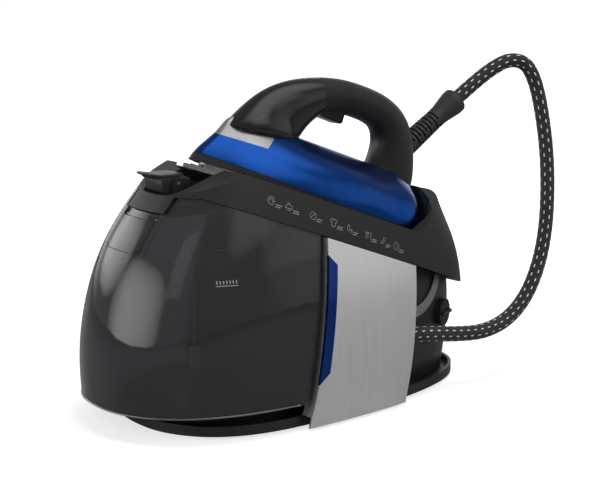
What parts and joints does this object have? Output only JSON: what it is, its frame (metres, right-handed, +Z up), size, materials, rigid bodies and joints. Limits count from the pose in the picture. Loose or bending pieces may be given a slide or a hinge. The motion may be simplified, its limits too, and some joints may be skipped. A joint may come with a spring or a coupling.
{
  "type": "steam generator iron",
  "caption": "Steam generator iron resting nose up on its base station, with a removable front water tank, brushed side panels and a braided steam hose looping from the handle to the base.",
  "frame": {"origin": "on the floor, under the middle of the station's length and width", "axes": "+X towards the water tank and the iron's tip, +Y to the left side that carries the hose gland, +Z up"},
  "size_m": [0.5146, 0.2248, 0.3115],
  "materials": {
    "black_plastic": "fine texture",
    "foot_rubber": "matt",
    "plated_steel": "satin plating",
    "charcoal_plastic": "fine matt texture",
    "pad_rubber": "matt",
    "brushed_panel": "upright brushing",
    "blue_plastic": "metallic gloss",
    "silver_plastic": "silver paint",
    "grey_plastic": "fine texture",
    "tube_rubber": "translucent silicone look",
    "dark_plastic": "fine texture",
    "boiler_steel": "drawn steel",
    "fitting_brass": "turned",
    "board_green": "solder mask",
    "smoked_plastic": "dark translucent gloss",
    "hose_textile": "braided with light tracers",
    "sole_metal": "polished",
    "cast_aluminium": "as cast",
    "blue_shell": "metallic gloss",
    "gloss_black": "high gloss",
    "soft_grip": "soft touch",
    "lens": "clear amber",
    "relief_rubber": "matt"
  },
  "bodies": {
    "station": {"base_plate": "black_plastic", "rubber_feet": "foot_rubber", "base_screws": "plated_steel", "inner_casing": "black_plastic", "upper_casing": "charcoal_plastic", "rest_pads": "pad_rubber", "side_panel_left": "brushed_panel", "side_panel_right": "brushed_panel", "accent_strip_left": "blue_plastic", "accent_strip_right": "blue_plastic", "arc_trim": "silver_plastic", "drain_pipe": "tube_rubber", "hose_gland": "dark_plastic", "boiler": "boiler_steel", "boiler_heater": "boiler_steel", "boiler_thermostat": "plated_steel", "steam_valve": "fitting_brass", "safety_valve": "fitting_brass", "pump": "dark_plastic", "pump_mounts": "pad_rubber", "inlet_tube": "tube_rubber", "feed_tube": "tube_rubber", "steam_tube": "tube_rubber", "tank_socket": "dark_plastic", "control_board": "board_green", "board_rails": "dark_plastic", "mains_grommet": "foot_rubber", "power_switch": "dark_plastic", "latch_pin": "plated_steel", "steam_hose": "hose_textile"},
    "water_tank": {"tank_shell": "smoked_plastic", "tank_valve": "dark_plastic", "flap_pin": "plated_steel"},
    "tank_flap": {"tank_flap": "smoked_plastic"},
    "latch": {"latch": "dark_plastic"},
    "drain_cap": {"drain_cap": "grey_plastic"},
    "power_button": {"power_button": "grey_plastic"},
    "iron": {"soleplate": "sole_metal", "steam_chamber": "cast_aluminium", "iron_element": "plated_steel", "iron_thermostat": "plated_steel", "iron_tube": "tube_rubber", "heat_shield": "charcoal_plastic", "shield_screws": "plated_steel", "front_bracket": "plated_steel", "blue_shell": "blue_shell", "nose_trim": "silver_plastic", "heel_cover": "dark_plastic", "handle_front": "gloss_black", "handle_grip": "soft_grip", "indicator_lens": "lens", "trigger_pin": "plated_steel", "trigger_switch": "dark_plastic", "strain_relief": "relief_rubber"},
    "trigger": {"trigger": "gloss_black"}
  },
  "joints": [
    {"name": "iron_lift", "type": "slide", "parent": "station", "child": "iron", "axis": [0, 0, 1], "range_m": [0, 0.12], "deforming": ["steam_hose"]},
    {"name": "trigger_press", "type": "hinge", "parent": "iron", "child": "trigger", "pos_m": [-0.0427, 0, 0.27545], "axis": [0, 1, 0], "range_deg": [0, 5], "stiffness_Nm_per_rad": 0.6},
    {"name": "tank_slide", "type": "slide", "parent": "station", "child": "water_tank", "axis": [1, 0, 0], "range_m": [0, 0.19]},
    {"name": "flap_open", "type": "hinge", "parent": "water_tank", "child": "tank_flap", "pos_m": [0.1485, 0, 0.1835], "axis": [0, -1, 0], "range_deg": [0, 55]},
    {"name": "latch_swing", "type": "hinge", "parent": "station", "child": "latch", "pos_m": [0.124, 0, 0.213], "axis": [0, 1, 0], "range_deg": [-85, 0]},
    {"name": "drain_turn", "type": "hinge", "parent": "station", "child": "drain_cap", "pos_m": [-0.15, 0.04952, 0.068], "axis": [-0.4447, 0.8957, 0], "range_deg": [0, 90]},
    {"name": "power_press", "type": "slide", "parent": "station", "child": "power_button", "axis": [0, 1, 0], "range_m": [0, 0.0015], "stiffness_N_per_m": 800}
  ]
}
